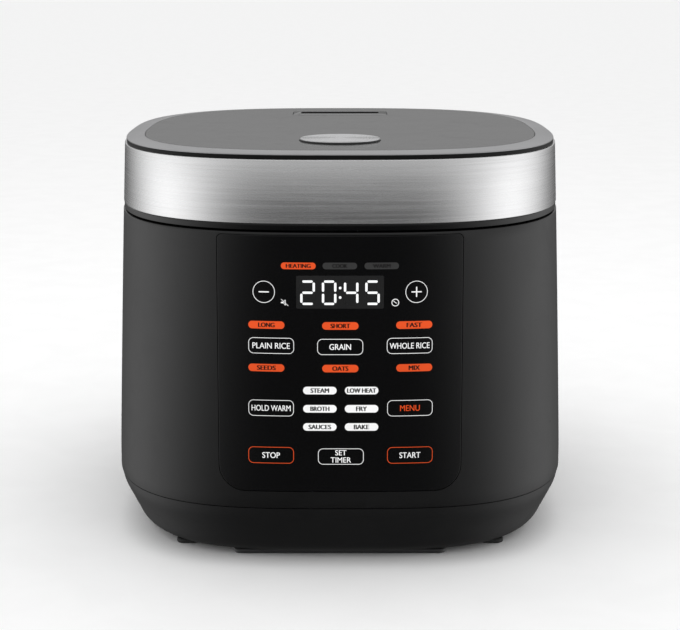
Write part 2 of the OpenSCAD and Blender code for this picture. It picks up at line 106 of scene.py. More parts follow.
def body_square(z):
    return LID_SQUARE + (BASE_SQUARE - LID_SQUARE) * (BODY_TOP - z) / (BODY_TOP - SEAM_Z)


def front_y(x, z, sink=0.0):
    """Where the body's front wall stands at a place across and up it."""
    grow = body_grow(z) - sink
    square = body_square(z)
    rest = 1 - abs(x / (LID_W + grow)) ** square
    return CENTRE_Y - (LID_D + grow) * max(rest, 0.0) ** (1 / square)


# ---------------------------------------------------------------- shared surface effects

def effect(name, inputs, outputs):
    """An empty shader node group with named sockets."""
    group = bpy.data.node_groups.new(name, "ShaderNodeTree")
    for label, kind, value in inputs:
        made = group.interface.new_socket(name=label, in_out="INPUT", socket_type=kind)
        if value is not None:
            made.default_value = value
    for label in outputs:
        group.interface.new_socket(name=label, in_out="OUTPUT", socket_type="NodeSocketFloat")
    return group, group.nodes.new("NodeGroupInput"), group.nodes.new("NodeGroupOutput")


def maths(tree, kind, first, second=None, third=None):
    """A Math node fed by sockets or plain numbers."""
    made = tree.nodes.new("ShaderNodeMath")
    made.operation = kind
    for slot, value in enumerate((first, second, third)):
        if value is None:
            continue
        if isinstance(value, (int, float)):
            made.inputs[slot].default_value = value
        else:
            tree.links.new(value, made.inputs[slot])
    return made.outputs[0]


def stretched(tree, vector, x, y, z):
    """A vector scaled along each axis."""
    made = tree.nodes.new("ShaderNodeVectorMath")
    made.operation = "MULTIPLY"
    tree.links.new(vector, made.inputs[0])
    made.inputs[1].default_value = (x, y, z)
    return made.outputs[0]


def noise(tree, vector, scale, detail=2.0, rough=0.5, distort=0.0):
    """A Noise texture, with its scale a number or a socket."""
    made = tree.nodes.new("ShaderNodeTexNoise")
    made.inputs["Detail"].default_value = detail
    made.inputs["Roughness"].default_value = rough
    made.inputs["Distortion"].default_value = distort
    tree.links.new(vector, made.inputs["Vector"])
    if isinstance(scale, (int, float)):
        made.inputs["Scale"].default_value = scale
    else:
        tree.links.new(scale, made.inputs["Scale"])
    return made.outputs[0]


def eased(tree, value, low, high, out_low=0.0, out_high=1.0):
    """A smooth step between two values."""
    made = tree.nodes.new("ShaderNodeMapRange")
    made.interpolation_type = "SMOOTHSTEP"
    tree.links.new(value, made.inputs["Value"])
    made.inputs["From Min"].default_value = low
    made.inputs["From Max"].default_value = high
    made.inputs["To Min"].default_value = out_low
    made.inputs["To Max"].default_value = out_high
    return made.outputs["Result"]


PLACE = ("Place", "NodeSocketVector", None)


def build_moulded_grain():
    """Spark-eroded mould texture: fine pits, and broad patches where the gloss drifts."""
    group, enter, leave = effect(
        "moulded_grain", [PLACE, ("Pits per metre", "NodeSocketFloat", 2600.0)],
        ["Height", "Patch"])
    pits = noise(group, enter.outputs["Place"], enter.outputs["Pits per metre"], 3, 0.65)
    group.links.new(eased(group, pits, 0.32, 0.68), leave.inputs["Height"])
    patch = noise(group, enter.outputs["Place"], 21.0, 3, 0.55, 0.4)
    group.links.new(eased(group, patch, 0.3, 0.7), leave.inputs["Patch"])
    return group


def build_handling_marks():
    """Soft smears from hands, and hairline scratches in two directions."""
    group, enter, leave = effect("handling_marks", [PLACE], ["Smear", "Scratch"])
    smear = noise(group, enter.outputs["Place"], 34.0, 4, 0.6, 1.4)
    group.links.new(eased(group, smear, 0.48, 0.74), leave.inputs["Smear"])
    one = noise(group, stretched(group, enter.outputs["Place"], 900, 40, 60), 1.0, 2, 0.5, 0.6)
    two = noise(group, stretched(group, enter.outputs["Place"], 50, 60, 820), 1.0, 2, 0.5, 0.8)
    both = maths(group, "MAXIMUM", eased(group, one, 0.70, 0.76), eased(group, two, 0.71, 0.77))
    group.links.new(both, leave.inputs["Scratch"])
    return group


def build_settled_dust():
    """A little dust where a surface faces up."""
    group, enter, leave = effect(
        "settled_dust", [PLACE, ("Amount", "NodeSocketFloat", 0.3)], ["Dust"])
    facing = group.nodes.new("ShaderNodeNewGeometry")
    split = group.nodes.new("ShaderNodeSeparateXYZ")
    group.links.new(facing.outputs["Normal"], split.inputs[0])
    up = eased(group, split.outputs["Z"], 0.55, 0.98)
    specks = noise(group, enter.outputs["Place"], 1400.0, 2, 0.8)
    drift = noise(group, enter.outputs["Place"], 45.0, 2, 0.5)
    loose = maths(group, "MULTIPLY", eased(group, specks, 0.56, 0.72),
                  eased(group, drift, 0.3, 0.7))
    dust = maths(group, "MULTIPLY", maths(group, "MULTIPLY", up, loose), enter.outputs["Amount"])
    group.links.new(dust, leave.inputs["Dust"])
    return group


def build_brushed_lines():
    """Long level brush lines, as left by a belt running round the band."""
    group, enter, leave = effect("brushed_lines", [PLACE], ["Height", "Tone"])
    fine = noise(group, stretched(group, enter.outputs["Place"], 26, 26, 5200), 1.0, 3, 0.7)
    broad = noise(group, stretched(group, enter.outputs["Place"], 9, 9, 1100), 1.0, 3, 0.6)
    group.links.new(fine, leave.inputs["Height"])
    both = maths(group, "MULTIPLY_ADD", fine, 0.55, maths(group, "MULTIPLY", broad, 0.45))
    group.links.new(eased(group, both, 0.3, 0.7), leave.inputs["Tone"])
    return group


def build_turned_rings():
    """Rings from a lathe tool round an upright axis through the place's zero."""
    group, enter, leave = effect(
        "turned_rings", [PLACE, ("Rings per metre", "NodeSocketFloat", 5000.0)],
        ["Height", "Tone"])
    split = group.nodes.new("ShaderNodeSeparateXYZ")
    group.links.new(enter.outputs["Place"], split.inputs[0])
    across = maths(group, "MULTIPLY", split.outputs["X"], split.outputs["X"])
    both = maths(group, "MULTIPLY_ADD", split.outputs["Y"], split.outputs["Y"], across)
    radius = maths(group, "SQRT", both)
    bearing = maths(group, "ARCTAN2", split.outputs["Y"], split.outputs["X"])
    joined = group.nodes.new("ShaderNodeCombineXYZ")
    group.links.new(maths(group, "MULTIPLY", radius, enter.outputs["Rings per metre"]),
                    joined.inputs["X"])
    group.links.new(maths(group, "SINE", bearing), joined.inputs["Y"])
    group.links.new(maths(group, "COSINE", bearing), joined.inputs["Z"])
    ring = noise(group, joined.outputs[0], 1.0, 3, 0.6)
    group.links.new(ring, leave.inputs["Height"])
    group.links.new(eased(group, ring, 0.3, 0.7), leave.inputs["Tone"])
    return group


moulded_grain = build_moulded_grain()
handling_marks = build_handling_marks()
settled_dust = build_settled_dust()
brushed_lines = build_brushed_lines()
turned_rings = build_turned_rings()


# ---------------------------------------------------------------- materials

def start_material(name, rough, metal=0.0, constants=None):
    material = bpy.data.materials.new(name)
    material.use_nodes = True
    tree = material.node_tree
    shader = tree.nodes["Principled BSDF"]
    shader.inputs["Roughness"].default_value = rough
    shader.inputs["Metallic"].default_value = metal
    for label, value in (constants or {}).items():
        shader.inputs[label].default_value = value
    return material, tree, shader


def centred_place(tree, centre=(0, 0, 0)):
    """Object coordinates, with their zero moved to a piece's centre."""
    where = tree.nodes.new("ShaderNodeTexCoord")
    shift = tree.nodes.new("ShaderNodeMapping")
    shift.inputs["Location"].default_value = [-c for c in centre]
    tree.links.new(where.outputs["Object"], shift.inputs["Vector"])
    return shift.outputs["Vector"]


def use(tree, group, place, **values):
    """An effect's node group, placed in a material with its own values."""
    made = tree.nodes.new("ShaderNodeGroup")
    made.node_tree = group
    tree.links.new(place, made.inputs["Place"])
    for label, value in values.items():
        made.inputs[label.replace("_", " ")].default_value = value
    return made.outputs


def blended(tree, factor, first, second):
    """A colour between two, by a factor socket."""
    made = tree.nodes.new("ShaderNodeMix")
    made.data_type = "RGBA"
    tree.links.new(factor, made.inputs["Factor"])
    for label, value in (("A", first), ("B", second)):
        target = [s for s in made.inputs if s.name == label and s.type == "RGBA"][0]
        if isinstance(value, tuple):
            target.default_value = (*value, 1)
        else:
            tree.links.new(value, target)
    return [s for s in made.outputs if s.type == "RGBA"][0]


def bumped(tree, shader, height, strength, distance):
    """A Bump node between a height and the shader's normal."""
    made = tree.nodes.new("ShaderNodeBump")
    made.inputs["Strength"].default_value = strength
    made.inputs["Distance"].default_value = distance
    tree.links.new(height, made.inputs["Height"])
    tree.links.new(made.outputs["Normal"], shader.inputs["Normal"])


def tinted(colour, times):
    """A colour made lighter or darker."""
    return tuple(min(c * times, 1.0) for c in colour)


def moulded(name, colour, rough, pits=2600.0, depth=0.25, drift=0.05, smears=0.05,
            dust=0.25, constants=None):
    """Moulded or painted plastic: mould grain, drifting gloss, smears and a little dust."""
    material, tree, shader = start_material(name, rough, 0.0, constants)
    place = centred_place(tree)
    grain = use(tree, moulded_grain, place, Pits_per_metre=pits)
    marks = use(tree, handling_marks, place)
    dusty = use(tree, settled_dust, place, Amount=dust)
    body = blended(tree, grain["Patch"], tinted(colour, 0.86), tinted(colour, 1.14))
    body = blended(tree, dusty["Dust"], body, (0.32, 0.31, 0.3))
    tree.links.new(body, shader.inputs["Base Color"])
    worn = maths(tree, "MULTIPLY_ADD", grain["Patch"], drift, rough - drift / 2)
    worn = maths(tree, "MULTIPLY_ADD", marks["Smear"], smears, worn)
    worn = maths(tree, "MULTIPLY_ADD", marks["Scratch"], 0.05, worn)
    tree.links.new(worn, shader.inputs["Roughness"])
    if depth:
        bumped(tree, shader, grain["Height"], depth, 0.02 * MM)
    return material


def metal(name, colour, rough, lines=None, centre=(0, 0, 0), tone=0.12, depth=0.2,
          spread=0.08, constants=None, smears=0.05, rings=5000.0):
    """Bare or plated metal with the marks of how it was finished."""
    material, tree, shader = start_material(name, rough, 1.0, constants)
    place = centred_place(tree, centre)
    if lines is turned_rings:
        cut = use(tree, turned_rings, place, Rings_per_metre=rings)
    elif lines is brushed_lines:
        cut = use(tree, brushed_lines, place)
    else:
        cut = None
    grain = use(tree, moulded_grain, place, Pits_per_metre=1500.0)
    marks = use(tree, handling_marks, place)
    varying = cut["Tone"] if cut else grain["Patch"]
    tree.links.new(blended(tree, varying, tinted(colour, 1 - tone), tinted(colour, 1 + tone)),
                   shader.inputs["Base Color"])
    worn = maths(tree, "MULTIPLY_ADD", varying, spread, rough - spread / 2)
    worn = maths(tree, "MULTIPLY_ADD", marks["Smear"], smears, worn)
    tree.links.new(worn, shader.inputs["Roughness"])
    bumped(tree, shader, cut["Height"] if cut else grain["Height"], depth, 0.01 * MM)
    if constants and "Anisotropic" in constants:
        around = tree.nodes.new("ShaderNodeTangent")
        around.direction_type = "RADIAL"
        around.axis = "Z"
        tree.links.new(around.outputs["Tangent"], shader.inputs["Tangent"])
    return material


def glowing_ink(name, colour, glow):
    """Legends printed behind the glass and lit from inside, slightly uneven."""
    material, tree, shader = start_material(name, 0.35, 0.0, {"Emission Strength": glow})
    grain = use(tree, moulded_grain, centred_place(tree), Pits_per_metre=900.0)
    even = blended(tree, grain["Patch"], tinted(colour, 0.93), tinted(colour, 1.04))
    tree.links.new(even, shader.inputs["Emission Color"])
    tree.links.new(blended(tree, grain["Patch"], tinted(colour, 0.1), tinted(colour, 0.14)),
                   shader.inputs["Base Color"])
    return material


BRUSHED = {"Anisotropic": 0.85, "Anisotropic Rotation": 0.25}
TURNED = {"Anisotropic": 0.96, "Anisotropic Rotation": 0.25}
button_spot = ((button_lo.x + button_hi.x) / 2, (button_lo.y + button_hi.y) / 2, button_hi.z)
pot_spot = (0, CENTRE_Y, 0)

satin_paint = moulded("satin_paint", (0.003, 0.003, 0.0032), 0.34, 2300, 0.2, 0.04, 0.03, 0.1)
base_paint = moulded("base_paint", (0.0045, 0.0045, 0.0048), 0.36, 2300, 0.2, 0.04, 0.03, 0.1)
piano_black = moulded("piano_black", (0.0015, 0.0015, 0.0017), 0.07, 1800, 0.0, 0.02, 0.05, 0.15,
                      {"Specular IOR Level": 0.42})
groove_black = moulded("groove_black", (0.002, 0.002, 0.002), 0.5, 1800, 0.0, 0.02, 0.03, 0.1,
                       {"Specular IOR Level": 0.2})
inner_black = moulded("inner_black", (0.022, 0.022, 0.023), 0.46, 3000, 0.35, 0.06, 0.06, 0.3)
housing_black = moulded("housing_black", (0.012, 0.012, 0.0125), 0.4, 2400, 0.3, 0.05, 0.04, 0.15)
soft_rubber = moulded("soft_rubber", (0.014, 0.014, 0.014), 0.72, 3500, 0.5, 0.08, 0.1, 0.4)
top_lacquer = moulded("top_lacquer", (0.009, 0.009, 0.0093), 0.16, 1800, 0.05, 0.03, 0.04, 0.1)
panel_glass = moulded("panel_glass", (0.0012, 0.0012, 0.0014), 0.04, 1500, 0.0, 0.01, 0.03, 0.0,
                      {"IOR": 1.5})
window_film = moulded("window_film", (0.014, 0.014, 0.0142), 0.05, 1500, 0.0, 0.01, 0.03, 0.0)
white_nylon = moulded("white_nylon", (0.68, 0.68, 0.66), 0.45, 2500, 0.3, 0.06, 0.06, 0.2)
board_green = moulded("board_green", (0.02, 0.13, 0.05), 0.4, 600, 0.4, 0.1, 0.05, 0.2)
mica_sheet = moulded("mica_sheet", (0.42, 0.3, 0.14), 0.5, 350, 0.4, 0.12, 0.05, 0.1)
lead_silicone = moulded("lead_silicone", (0.4, 0.035, 0.03), 0.5, 2500, 0.3, 0.05, 0.05, 0.1)
seal_silicone = moulded("seal_silicone", (0.56, 0.56, 0.54), 0.42, 2800, 0.3, 0.06, 0.08, 0.1,
                        {"Subsurface Weight": 0.15, "Subsurface Scale": 0.004})
smoked_clear = moulded("smoked_clear", (0.2, 0.21, 0.22), 0.1, 1500, 0.0, 0.03, 0.05, 0.1,
                       {"Transmission Weight": 0.85, "IOR": 1.49})

band_steel = metal("band_steel", (0.85, 0.85, 0.855), 0.26, brushed_lines, (0, 0, 0), 0.1, 0.35,
                   0.1, BRUSHED, 0.02)
button_steel = metal("button_steel", (0.72, 0.72, 0.73), 0.3, turned_rings, button_spot, 0.16,
                     0.35, 0.1, TURNED, 0.02, 4200)
trim_metal = metal("trim_metal", (0.4, 0.4, 0.41), 0.3, None, (0, 0, 0), 0.05, 0.1, 0.04)
spun_aluminium = metal("spun_aluminium", (0.72, 0.72, 0.73), 0.32, turned_rings, pot_spot, 0.08,
                       0.3, 0.1, {"Anisotropic": 0.5, "Anisotropic Rotation": 0.25})
chamber_sheet = metal("chamber_sheet", (0.66, 0.66, 0.67), 0.36, None, pot_spot, 0.1, 0.3, 0.1)
zinc_plate = metal("zinc_plate", (0.6, 0.6, 0.61), 0.28, None, (0, 0, 0), 0.1, 0.25, 0.1)
pin_brass = metal("pin_brass", (0.78, 0.6, 0.3), 0.25, None, (0, 0, 0), 0.08, 0.2, 0.08)

lit_white = glowing_ink("lit_white", (0.92, 0.92, 0.92), 0.95)
digit_white = glowing_ink("digit_white", (0.95, 0.96, 0.98), 1.0)
lit_orange = glowing_ink("lit_orange", (0.75, 0.074, 0.008), 0.95)
dim_pill = glowing_ink("dim_pill", (0.03, 0.03, 0.03), 1.0)
resting_bar = glowing_ink("resting_bar", (0.008, 0.008, 0.008), 1.0)
dark_ink = glowing_ink("dark_ink", (0.004, 0.003, 0.003), 0.6)


def build_non_stick():
    """Dark non-stick coating with pale specks, over faint turning rings."""
    material, tree, shader = start_material("non_stick", 0.34, 0.15)
    place = centred_place(tree, pot_spot)
    rings = use(tree, turned_rings, place, Rings_per_metre=1500.0)
    marks = use(tree, handling_marks, place)
    specks = noise(tree, place, 1900.0, 1, 0.5)
    base = blended(tree, rings["Tone"], (0.021, 0.021, 0.022), (0.03, 0.03, 0.031))
    base = blended(tree, eased(tree, specks, 0.68, 0.74), base, (0.16, 0.16, 0.16))
    tree.links.new(base, shader.inputs["Base Color"])
    tree.links.new(maths(tree, "MULTIPLY_ADD", marks["Smear"], 0.08, 0.3),
                   shader.inputs["Roughness"])
    bumped(tree, shader, rings["Height"], 0.3, 0.02 * MM)
    return material


non_stick = build_non_stick()


# ---------------------------------------------------------------- mesh helpers

def place(bm, name, body, material, replaced=(), smooth=38, flat_print=False, slot=None):
    """Turns a bmesh into a finished piece that rides on a body."""
    if not flat_print:
        bmesh.ops.recalc_face_normals(bm, faces=bm.faces)
    mesh = bpy.data.meshes.new(name)
    bm.to_mesh(mesh)
    bm.free()
    piece = bpy.data.objects.new(name, mesh)
    bpy.context.scene.collection.objects.link(piece)
    mesh.materials.append(material)
    if smooth:
        mesh.shade_smooth()
        mesh.set_sharp_from_angle(angle=math.radians(smooth))
    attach(piece, body)
    if replaced:
        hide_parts(*replaced)
    return piece


def outline_ring(bm, z, grow_x, grow_y, square):
    """A closed ring of edges on the cooker's outline."""
    made = bmesh.ops.create_circle(bm, cap_ends=False, segments=STEPS, radius=1.0)
    ring = made["verts"]
    for i, vert in enumerate(ring):
        turn = 2 * math.pi * i / STEPS
        vert.co = (*outline_point(turn, grow_x, grow_y, square), z)
    return ring


def outline_loft(levels, closed=True):
    """A wall through levels of (z, grow_x, grow_y, squareness), made by extruding one ring.
    A closed loft joins its last level to its first."""
    bm = bmesh.new()
    first = outline_ring(bm, *levels[0])
    edges = list({e for v in first for e in v.link_edges})
    first_edges = edges
    order = {v: i for i, v in enumerate(first)}
    for z, grow_x, grow_y, square in levels[1:]:
        made = bmesh.ops.extrude_edge_only(bm, edges=edges)["geom"]
        risen = [g for g in made if isinstance(g, bmesh.types.BMVert)]
        new_order = {}
        for vert in risen:
            below = next(e.other_vert(vert) for e in vert.link_edges
                         if e.other_vert(vert) in order)
            new_order[vert] = order[below]
            turn = 2 * math.pi * order[below] / STEPS
            vert.co = (*outline_point(turn, grow_x, grow_y, square), z)
        order = new_order
        edges = [g for g in made if isinstance(g, bmesh.types.BMEdge)
                 and all(v in order for v in g.verts)]
    if closed:
        bmesh.ops.bridge_loops(bm, edges=first_edges + edges)
    return bm


def level(z, grow, square=LID_SQUARE):
    """A loft level, height and growth given in millimetres from the lid's outline."""
    return (z, grow * MM, grow * MM, square)


def lid_level(z, grow):
    """A level of the lid's wall, which leans in towards its top."""
    up = max(z - band_lo.z, 0.0) / (ring_hi.z - band_lo.z)
    return level(z, grow - LID_LEAN / MM * up)


def rounded_wall(low, high, outer, inner, edge):
    """Levels of a lid wall whose outer edges are rounded by edge, in millimetres."""
    bend = [(1.0, 1.0), (0.62, 0.92), (0.3, 0.7), (0.08, 0.38), (0.0, 0.0)]
    rise = [lid_level(low + edge * MM * (1 - b), outer - edge * a) for a, b in bend]
    fall = [lid_level(high - edge * MM * (1 - b), outer - edge * a) for a, b in reversed(bend)]
    return [lid_level(low, inner)] + rise + fall + [lid_level(high, inner)]


def smooth_rows(rows, parts):
    """Rows between rows, on a curve that passes through each."""
    made = []
    for k in range(len(rows) - 1):
        before, start, end, after = (rows[max(k - 1, 0)], rows[k], rows[k + 1],
                                     rows[min(k + 2, len(rows) - 1)])
        for i in range(parts):
            t = i / parts
            made.append(tuple(
                0.5 * (2 * b + (c - a) * t + (2 * a - 5 * b + 4 * c - d) * t * t
                       + (3 * b - a - 3 * c + d) * t ** 3)
                for a, b, c, d in zip(before, start, end, after)))
    return made + [tuple(rows[-1])]


def lathe(profile, centre, steps=160):
    """A turned piece: a profile of (radius, z) spun round a vertical line."""
    bm = bmesh.new()
    verts = [bm.verts.new((centre[0] + r, centre[1], z)) for r, z in profile]
    edges = [bm.edges.new(pair) for pair in zip(verts, verts[1:])]
    bmesh.ops.spin(bm, geom=verts + edges, cent=(centre[0], centre[1], 0.0), axis=(0, 0, 1),
                   angle=2 * math.pi, steps=steps, use_merge=True)
    bmesh.ops.remove_doubles(bm, verts=bm.verts, dist=1e-6)
    return bm


def refined(node, material, edge=0.0, body=None, name=None, smooth=38):
    """A merged copy of a CAD node with its sharp edges softened, in millimetres."""
    source = nodes[node]
    bm = bmesh.new()
    bm.from_mesh(source.data)
    bm.transform(source.matrix_world)
    bmesh.ops.remove_doubles(bm, verts=bm.verts, dist=2e-6)
    bmesh.ops.dissolve_limit(bm, angle_limit=math.radians(0.5), verts=bm.verts, edges=bm.edges)
    if edge:
        sharp = [e for e in bm.edges if e.is_manifold and e.calc_face_angle(0) > math.radians(45)]
        bmesh.ops.bevel(bm, geom=sharp, offset=edge * MM, offset_type="OFFSET", segments=2,
                        profile=0.5, affect="EDGES", clamp_overlap=True, material=-1)
    mesh_name = name or node.replace("_", "-") + "-finished"
    return place(bm, mesh_name, body or HOME[node], material, [node], smooth)


def cut_patch(bm, faces, planes):
    """Cuts along planes of (point, outward normal), and returns the faces inside them all."""
    inside = list(faces)
    for point, outward in planes:
        geom = list({v for f in inside for v in f.verts} | {e for f in inside for e in f.edges}
                    | set(inside))
        made = bmesh.ops.bisect_plane(bm, geom=geom, plane_co=point, plane_no=outward,
                                      dist=1e-8)["geom"]
        found = [g for g in made if isinstance(g, bmesh.types.BMFace)]
        inside = [f for f in found if (f.calc_center_median() - Vector(point)).dot(
            Vector(outward)) < 0]
    return inside


def corner_planes(centre, radius, start, end, steps, flat):
    """Planes touching an arc. flat turns an angle into an in-plane direction."""
    made = []
    for k in range(steps + 1):
        angle = math.radians(start + (end - start) * k / steps)
        outward = flat(angle)
        made.append((Vector(centre) + radius * outward, outward))
    return made


def window_planes(grow):
    """The touch glass's outline as upright planes: two big lower corners, two small upper."""
    half = glass_hi.x + 0.15 * MM + grow
    low = glass_lo.z - 0.15 * MM - grow
    high = glass_hi.z + 0.15 * MM + grow
    big, small = 15.5 * MM + grow, 3.0 * MM + grow

    def flat(angle):
        return Vector((math.cos(angle), 0.0, math.sin(angle)))

    made = []
    for side in (1, -1):
        start = 0 if side == 1 else 180
        made += corner_planes((side * (half - big), 0, low + big), big, start,
                              start - side * 90, 14, flat)
        made += corner_planes((side * (half - small), 0, high - small), small, start,
                              start + side * 90, 6, flat)
    return made


def front_faces(bm):
    return [f for f in bm.faces if f.normal.y < -0.3 and f.calc_center_median().y < CENTRE_Y]


def open_back(bm, half):
    """Takes out the stretch at the back that the hinge block fills, and closes the ends."""
    back = [f for f in bm.faces if f.calc_center_median().y > CENTRE_Y + 0.1]
    gap = cut_patch(bm, back, [(Vector((half, 0, 0)), Vector((1, 0, 0))),
                               (Vector((-half, 0, 0)), Vector((-1, 0, 0)))])
    bmesh.ops.delete(bm, geom=gap, context="FACES")
    edges = [e for e in bm.edges if e.is_boundary]
    bmesh.ops.holes_fill(bm, edges=edges, sides=0)


HOME = {}
for body_name, body_nodes in frame["record"]["behaviour"]["bodies"].items():
    for each in body_nodes:
        HOME[each] = body_name

# ---------------------------------------------------------------- body, base and glass

wall_levels = []
for k in range(25):
    z = SEAM_Z + (BODY_TOP - SEAM_Z) * k / 24
    wall_levels.append((z, body_grow(z), body_grow(z), body_square(z)))


def soften_ends(levels, edge):
    """Rounds the outer wall over at its lowest and highest level."""
    first, last = levels[0], levels[-1]
    step = edge * MM
    bottom = [(first[0], first[1] - step, first[2] - step, first[3]),
              (first[0] + 0.3 * step, first[1] - 0.3 * step, first[2] - 0.3 * step, first[3]),
              (first[0] + step, first[1], first[2], first[3])]
    top = [(last[0] - step, last[1], last[2], last[3]),
           (last[0] - 0.3 * step, last[1] - 0.3 * step, last[2] - 0.3 * step, last[3]),
           (last[0], last[1] - step, last[2] - step, last[3])]
    return bottom + levels[1:-1] + top


shell_levels = soften_ends(wall_levels, 0.5)
for z, grow_x, grow_y, square in reversed(wall_levels[::4]):
    shell_levels.append((z, grow_x - WALL, grow_y - WALL, square))
shell = outline_loft(shell_levels)
bmesh.ops.recalc_face_normals(shell, faces=shell.faces)
patch = cut_patch(shell, front_faces(shell), window_planes(0.25 * MM))
pocket = bmesh.ops.extrude_face_region(shell, geom=patch)["geom"]
bmesh.ops.delete(shell, geom=patch, context="FACES_KEEP_BOUNDARY")
bmesh.ops.translate(shell, vec=(0, 2.4 * MM, 0),
                    verts=[g for g in pocket if isinstance(g, bmesh.types.BMVert)])
place(shell, "body_shell", "base", satin_paint, ["outer_shell"], slot="black_satin")

GLASS_SINK = 0.12 * MM
glass_levels = [(z, a - GLASS_SINK, b - GLASS_SINK, s) for z, a, b, s in wall_levels]
glass = outline_loft(glass_levels, closed=False)
bmesh.ops.recalc_face_normals(glass, faces=glass.faces)
if sum(f.normal.y for f in glass.faces if f.calc_center_median().y < CENTRE_Y - 0.15) > 0:
    bmesh.ops.reverse_faces(glass, faces=glass.faces)
keep = set(cut_patch(glass, front_faces(glass), window_planes(-0.15 * MM)))
bmesh.ops.delete(glass, geom=[f for f in glass.faces if f not in keep], context="FACES")
bmesh.ops.solidify(glass, geom=list(glass.faces), thickness=2.0 * MM)
bmesh.ops.recalc_face_normals(glass, faces=glass.faces)
rim_edges = [e for e in glass.edges if e.is_manifold and e.calc_face_angle(0) > math.radians(60)
             and sum(f.normal.y < -0.8 for f in e.link_faces) == 1]
bmesh.ops.bevel(glass, geom=rim_edges, offset=0.2 * MM, offset_type="OFFSET", segments=2,
                profile=0.5, affect="EDGES", clamp_overlap=True, material=-1)
place(glass, "touch_panel", "base", panel_glass, ["control_glass"], smooth=20,
      slot="touch_glass")

tub_rows = [(3, 19, 23), (5, 15.4, 18.6), (9, 11.8, 14), (15, 9, 10.2), (22, 5.8, 6.6),
            (31, 1.8, 2), (37.2, 0.4, 0.4)]
tub_grow = body_grow(SEAM_Z)
tub_levels = [(z * MM, tub_grow - side * MM, tub_grow - front * MM, BASE_SQUARE)
              for z, side, front in smooth_rows(tub_rows, 4)]
for z, side, front in reversed(tub_rows[1:]):
    tub_levels.append((z * MM, tub_grow - side * MM - WALL, tub_grow - front * MM - WALL,
                       BASE_SQUARE))
tub_levels.append((6 * MM, tub_grow - 20 * MM, tub_grow - 24 * MM, BASE_SQUARE))
tub_levels.append((6 * MM, 100 * MM - LID_W, 100 * MM - LID_D, 2))
tub_levels.append((3 * MM, 100 * MM - LID_W, 100 * MM - LID_D, 2))
place(outline_loft(tub_levels), "rounded_base", "base", base_paint, ["base_tub"],
      slot="black_satin")

# ---------------------------------------------------------------- lid

GAP_HALF = block_hi.x + 0.1 * MM

band = outline_loft(rounded_wall(band_lo.z, band_hi.z, 0.0, -1.2, 0.35))
open_back(band, GAP_HALF)
place(band, "steel_band", "lid", band_steel, ["lid_band"], slot="steel")

rim = outline_loft(rounded_wall(rim_lo.z, rim_hi.z, -0.3, -6.0, 0.6))
open_back(rim, GAP_HALF)
place(rim, "gloss_rim", "lid", piano_black, ["lid_lower_rim"], slot="black_gloss")

reveal = outline_loft(rounded_wall(band_hi.z - 0.6 * MM, ring_lo.z + 0.05 * MM, -1.22, -4.0, 0.2))
place(reveal, "shadow_groove", "lid", groove_black, slot="black_gloss")

trim_top, trim_edge = ring_hi.z, ring_lo.z + 0.5 * MM
trim_out = (ring_hi.x - LID_W) / MM
trim_in = trim_out - TRIM_W / MM
trim_levels = [level(ring_lo.z, trim_out), level(trim_edge - 0.25 * MM, trim_out),
               level(trim_edge, trim_out - 0.1), level(trim_edge + 0.14 * MM, trim_out - 0.4)]
for k in range(1, 8):
    t = k / 8
    crown = 0.28 * math.sin(math.pi * t) * MM
    trim_levels.append(level(trim_edge + (trim_top - trim_edge) * t + crown,
                             trim_out + (trim_in - trim_out) * t))
trim_levels += [level(trim_top, trim_in + 0.3), level(trim_top - 0.2 * MM, trim_in),
                level(ring_lo.z, trim_in)]
place(outline_loft(trim_levels), "bevelled_trim", "lid", trim_metal, ["lid_trim_ring"],
      slot="trim_metal")

panel_out = (panel_hi.x - LID_W) / MM
panel = outline_loft([level(panel_lo.z, panel_out), level(panel_hi.z - 0.35 * MM, panel_out),
                      level(panel_hi.z - 0.1 * MM, panel_out - 0.12),
                      level(panel_hi.z, panel_out - 0.4)], closed=False)
bmesh.ops.holes_fill(panel, edges=[e for e in panel.edges if e.is_boundary], sides=0)


def flat_turn(angle):
    return Vector((math.cos(angle), math.sin(angle), 0.0))


def round_hole(centre, radius, steps=72):
    return corner_planes(centre, radius, 0, 360 - 360 / steps, steps - 1, flat_turn)


def slot_hole(low, high, corner):
    made = []
    for sx, sy, start in ((1, 1, 0), (-1, 1, 90), (-1, -1, 180), (1, -1, 270)):
        centre = ((high.x - corner) if sx > 0 else (low.x + corner),
                  (high.y - corner) if sy > 0 else (low.y + corner), 0)
        made += corner_planes(centre, corner, start, start + 90, 8, flat_turn)
    return made


def cut_through(bm, planes):
    """Cuts a hole down through a flat-topped piece, with its wall."""
    for facing in (1, -1):
        faces = [f for f in bm.faces if f.normal.z * facing > 0.99]
        gone = cut_patch(bm, faces, planes)
        bmesh.ops.delete(bm, geom=gone, context="FACES")
    edges = [e for e in bm.edges if e.is_boundary]
    bmesh.ops.bridge_loops(bm, edges=edges)


grow = Vector((0.4 * MM, 0.4 * MM, 0))
bmesh.ops.recalc_face_normals(panel, faces=panel.faces)
cut_through(panel, round_hole((button_spot[0], button_spot[1], 0),
                              (button_hi.x - button_lo.x) / 2 + 0.4 * MM))
bmesh.ops.recalc_face_normals(panel, faces=panel.faces)
cut_through(panel, slot_hole(vent_lo - grow, vent_hi + grow, 6.4 * MM))
place(panel, "lid_panel", "lid", top_lacquer, ["lid_top_panel"], smooth=12, slot="lid_gloss")

